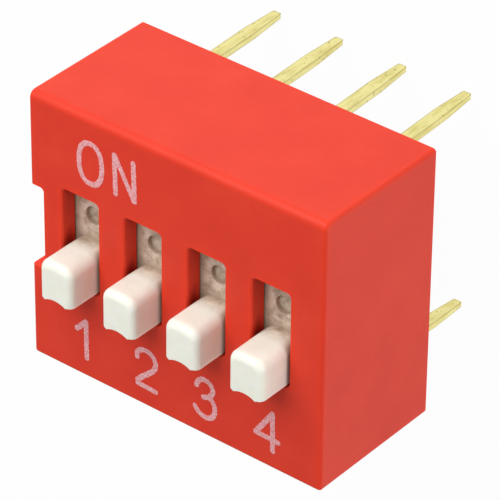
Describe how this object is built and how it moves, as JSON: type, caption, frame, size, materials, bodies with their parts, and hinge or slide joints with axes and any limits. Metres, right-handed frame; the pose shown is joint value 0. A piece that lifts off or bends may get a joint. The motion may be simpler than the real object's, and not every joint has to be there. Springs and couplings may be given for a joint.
{
  "type": "dip switch",
  "caption": "Slide switch in a moulded housing for a printed circuit board, with a row of small sliding knobs and two rows of solder pins.",
  "frame": {"origin": "centre of the seating plane, where the housing's rim meets the circuit board, midway between the two rows of pins", "axes": "+X along the row of switches, from the first to the last; +Y from the numbered side to the ON side; +Z from the circuit board to the knobs"},
  "size_m": [0.0116, 0.0098, 0.0111],
  "materials": {
    "cover": "moulded, satin",
    "base": "moulded, matt",
    "seal": "poured resin",
    "terminal": "thinly gold plated",
    "slider": "moulded, satin",
    "contact": "gold plated spring strip"
  },
  "bodies": {
    "housing": {"cover": "cover", "base": "base", "terminal_seal": "seal", "terminal_1": "terminal", "terminal_2": "terminal", "terminal_3": "terminal", "terminal_4": "terminal", "terminal_5": "terminal", "terminal_6": "terminal", "terminal_7": "terminal", "terminal_8": "terminal"},
    "switch_1": {"slider_1": "slider", "contact_1": "contact"},
    "switch_2": {"slider_2": "slider", "contact_2": "contact"},
    "switch_3": {"slider_3": "slider", "contact_3": "contact"},
    "switch_4": {"slider_4": "slider", "contact_4": "contact"}
  },
  "joints": [
    {"name": "slide_1", "type": "slide", "parent": "housing", "child": "switch_1", "axis": [0, 1, 0], "range_m": [0, 0.00186]},
    {"name": "slide_2", "type": "slide", "parent": "housing", "child": "switch_2", "axis": [0, 1, 0], "range_m": [0, 0.00186]},
    {"name": "slide_3", "type": "slide", "parent": "housing", "child": "switch_3", "axis": [0, 1, 0], "range_m": [0, 0.00186]},
    {"name": "slide_4", "type": "slide", "parent": "housing", "child": "switch_4", "axis": [0, 1, 0], "range_m": [0, 0.00186]}
  ]
}
